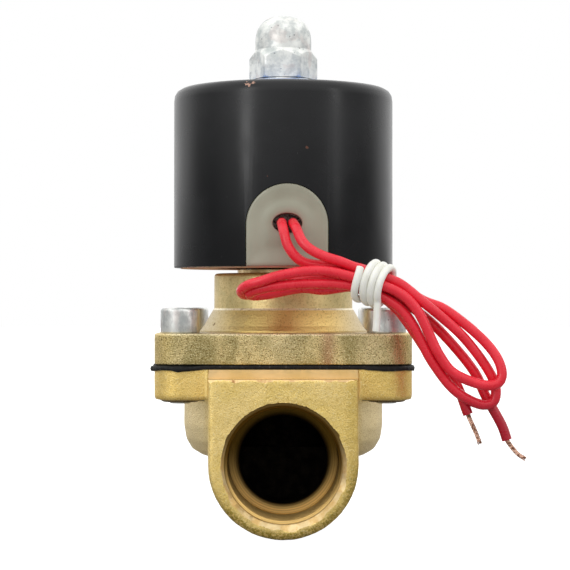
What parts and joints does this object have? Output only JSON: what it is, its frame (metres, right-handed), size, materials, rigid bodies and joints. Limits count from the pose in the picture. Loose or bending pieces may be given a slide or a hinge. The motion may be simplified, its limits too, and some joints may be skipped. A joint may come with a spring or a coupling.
{
  "type": "solenoid valve",
  "caption": "Two-way diaphragm solenoid valve with a cast brass body, square flanged bonnet, round coil, dome nut and two wire leads.",
  "frame": {"origin": "where the axis through both pipe ports meets the stem axis of plunger and coil", "axes": "+Z along the stem towards the cap nut, -Y out of the inlet port, +Y out of the outlet port"},
  "size_m": [0.0816, 0.0746, 0.1178],
  "materials": {
    "body_brass": "rough forged brass, machined port faces",
    "bonnet_brass": "rough brass with greenish patina and brown stains",
    "machined_brass": "turned bright",
    "zinc_steel": "bright zinc plate, slightly pitted",
    "stainless_steel": "drawn and turned stainless",
    "copper_wire": "bare copper strands and enamelled winding",
    "copper_plate": "thin copper-coloured plating on steel",
    "can_paint": "satin black paint with small chips",
    "black_rubber": "moulded nitrile rubber",
    "nylon": "moulded natural nylon",
    "potting_resin": "cast resin",
    "yellow_tape": "polyester tape",
    "grommet_plastic": "moulded beige-grey plastic",
    "blue_label": "plain printed plastic disc, no text",
    "red_insulation": "soft PVC insulation",
    "white_plastic": "plastic-coated tie wire"
  },
  "bodies": {
    "root": {"valve_body": "body_brass", "diaphragm": "black_rubber", "bonnet": "bonnet_brass", "tube_o_ring": "black_rubber", "guide_tube": "stainless_steel", "tube_collar": "machined_brass", "fixed_core": "stainless_steel", "plunger_spring": "stainless_steel", "bonnet_screw_1": "zinc_steel", "bonnet_screw_2": "zinc_steel", "bonnet_screw_3": "zinc_steel", "bonnet_screw_4": "zinc_steel", "spring_washer": "zinc_steel", "cap_nut": "zinc_steel"},
    "plunger": {"plunger": "stainless_steel", "pilot_seal": "black_rubber"},
    "disc": {"main_disc": "machined_brass", "lift_cage": "stainless_steel", "diaphragm_plate": "machined_brass", "disc_nut": "machined_brass"},
    "coil": {"coil_can": "can_paint", "coil_base_plate": "copper_plate", "coil_bobbin": "nylon", "coil_winding": "copper_wire", "winding_tape": "yellow_tape", "coil_potting": "potting_resin", "lead_grommet": "grommet_plastic", "label_disc": "blue_label", "lead_a": "red_insulation", "lead_b": "red_insulation", "lead_a_conductor": "copper_wire", "lead_b_conductor": "copper_wire", "lead_tie": "white_plastic"}
  },
  "joints": [
    {"name": "plunger_lift", "type": "slide", "parent": "root", "child": "plunger", "axis": [0, 0, 1], "range_m": [0, 0.006], "stiffness_N_per_m": 400, "springref_m": -0.008, "deforming": ["plunger_spring"]},
    {"name": "disc_lift", "type": "slide", "parent": "root", "child": "disc", "axis": [0, 0, 1], "range_m": [0, 0.0042], "deforming": ["diaphragm"]},
    {"name": "coil_swivel", "type": "hinge", "parent": "root", "child": "coil", "pos_m": [0, 0, 0.0428], "axis": [0, 0, 1], "continuous": true}
  ],
  "couplings": [
    {"joint": "disc_lift", "follows": "plunger_lift", "ratio": 0.6667}
  ]
}
